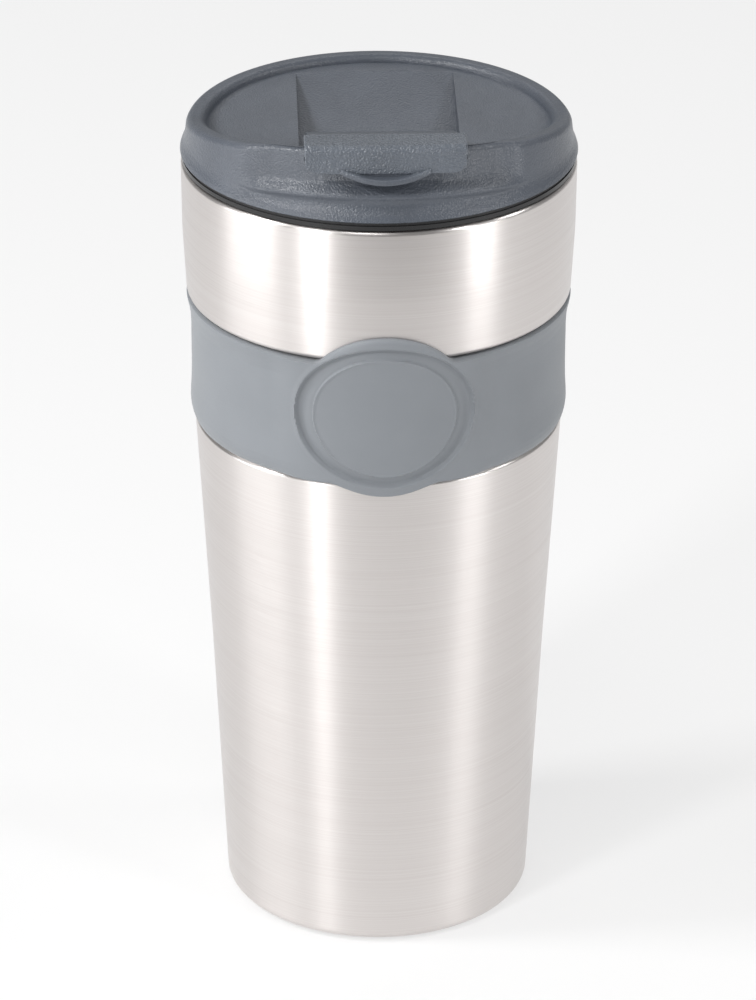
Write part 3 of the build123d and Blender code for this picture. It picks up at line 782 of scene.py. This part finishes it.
# ------------------------------------------------------------------ stage, lights and camera
def make_floor():
    """A wide pale floor, with a dark pool of painted shade in front of the mug for the steel to reflect."""
    half = 4.0
    mesh = bpy.data.meshes.new("floor")
    mesh.from_pydata([(-half, -half, 0), (half, -half, 0), (half, half, 0), (-half, half, 0)], [], [(0, 1, 2, 3)])
    floor = bpy.data.objects.new("floor", mesh)
    bpy.context.scene.collection.objects.link(floor)
    pale = Material("floor_white", (0.35, 0.35, 0.35), roughness=0.9)
    pale.shader.inputs["Emission Color"].default_value = (1, 1, 1, 1)
    place = pale.add("ShaderNodeTexCoord")
    mapping = pale.add("ShaderNodeMapping")
    mapping.inputs["Location"].default_value = (-0.15, 1.65, 0)
    mapping.inputs["Scale"].default_value = (1.25, 1.6, 1)
    pale.link(place.outputs["Object"], mapping.inputs["Vector"])
    # Painted shade: a dark pool in front of the mug, darker in colour and in glow, that the steel's bulge reflects.
    painted_shade_pool = pale.add("ShaderNodeTexGradient", gradient_type="SPHERICAL")
    pale.link(mapping.outputs["Vector"], painted_shade_pool.inputs["Vector"])
    pale.vary_colour(pale.remap(painted_shade_pool.outputs["Fac"], 0.0, 1.0, 0.0, 0.38), (0.35, 0.35, 0.35), (0.08, 0.08, 0.08))
    pale.link(pale.remap(painted_shade_pool.outputs["Fac"], 0.575, 0.02, 0.0, 0.38), pale.shader.inputs["Emission Strength"])
    mesh.materials.append(pale.material)


def soft_box(name, azimuth, elevation, distance, width, height, radiance, target=(0, 0, 0.1)):
    """A rectangular studio light that faces the mug. Azimuth 0 is the drinking side."""
    light = bpy.data.lights.new(name, "AREA")
    light.shape = "RECTANGLE"
    light.size = width
    light.size_y = height
    light.energy = radiance * pi * width * height
    lamp = bpy.data.objects.new(name, light)
    around = radians(azimuth)
    up = radians(elevation)
    away = Vector((sin(around) * cos(up), -cos(around) * cos(up), sin(up)))
    lamp.location = Vector(target) + away * distance
    lamp.rotation_euler = away.to_track_quat("Z", "Y").to_euler()
    bpy.context.scene.collection.objects.link(lamp)


CAMERA_AZIMUTH = -2.0
CAMERA_REACH = 993.0
CAMERA_HEIGHT = 579.0
CAMERA_PITCH = 26.12
CAMERA_ROLL = 0.17


def make_camera():
    camera = bpy.data.cameras.new("camera")
    camera.lens = 182.4
    camera.sensor_width = 36.0
    camera.clip_start = 0.05
    camera.clip_end = 20.0
    around = radians(CAMERA_AZIMUTH)
    holder = bpy.data.objects.new("camera", camera)
    holder.location = (CAMERA_REACH * MM * sin(around), -CAMERA_REACH * MM * cos(around), CAMERA_HEIGHT * MM)
    aim = Euler((radians(90 - CAMERA_PITCH), 0, around)).to_quaternion()
    holder.rotation_euler = (aim @ Quaternion((0, 0, 1), radians(CAMERA_ROLL))).to_euler()
    bpy.context.scene.collection.objects.link(holder)
    bpy.context.scene.camera = holder


def make_world():
    world = bpy.data.worlds.new("studio")
    world.use_nodes = True
    world.node_tree.nodes["Background"].inputs["Color"].default_value = (0.25, 0.25, 0.25, 1)
    bpy.context.scene.world = world


make_floor()
make_world()
make_camera()
soft_box("back", 180, 44, 1.8, 2.0, 0.6, 1.5)
soft_box("top", -15, 66, 1.3, 0.3, 0.3, 7.0)
soft_box("left_strip", -37, 4, 1.2, 0.19, 0.4, 13.0)
soft_box("left_panel", -78, 7, 1.2, 0.75, 0.5, 3.7)
soft_box("front_left_key", -42, 40, 1.2, 0.14, 0.14, 64.0)
soft_box("front_right_key", 50, 38, 1.2, 0.14, 0.14, 30.0)
soft_box("right_strip", 57, 4, 1.2, 0.36, 0.4, 6.2)
soft_box("left_key", -84, 47, 1.2, 0.22, 0.22, 34.0)
soft_box("right_key", 92, 42, 1.2, 0.2, 0.2, 14.0)
bpy.context.scene.view_settings.view_transform = "Standard"
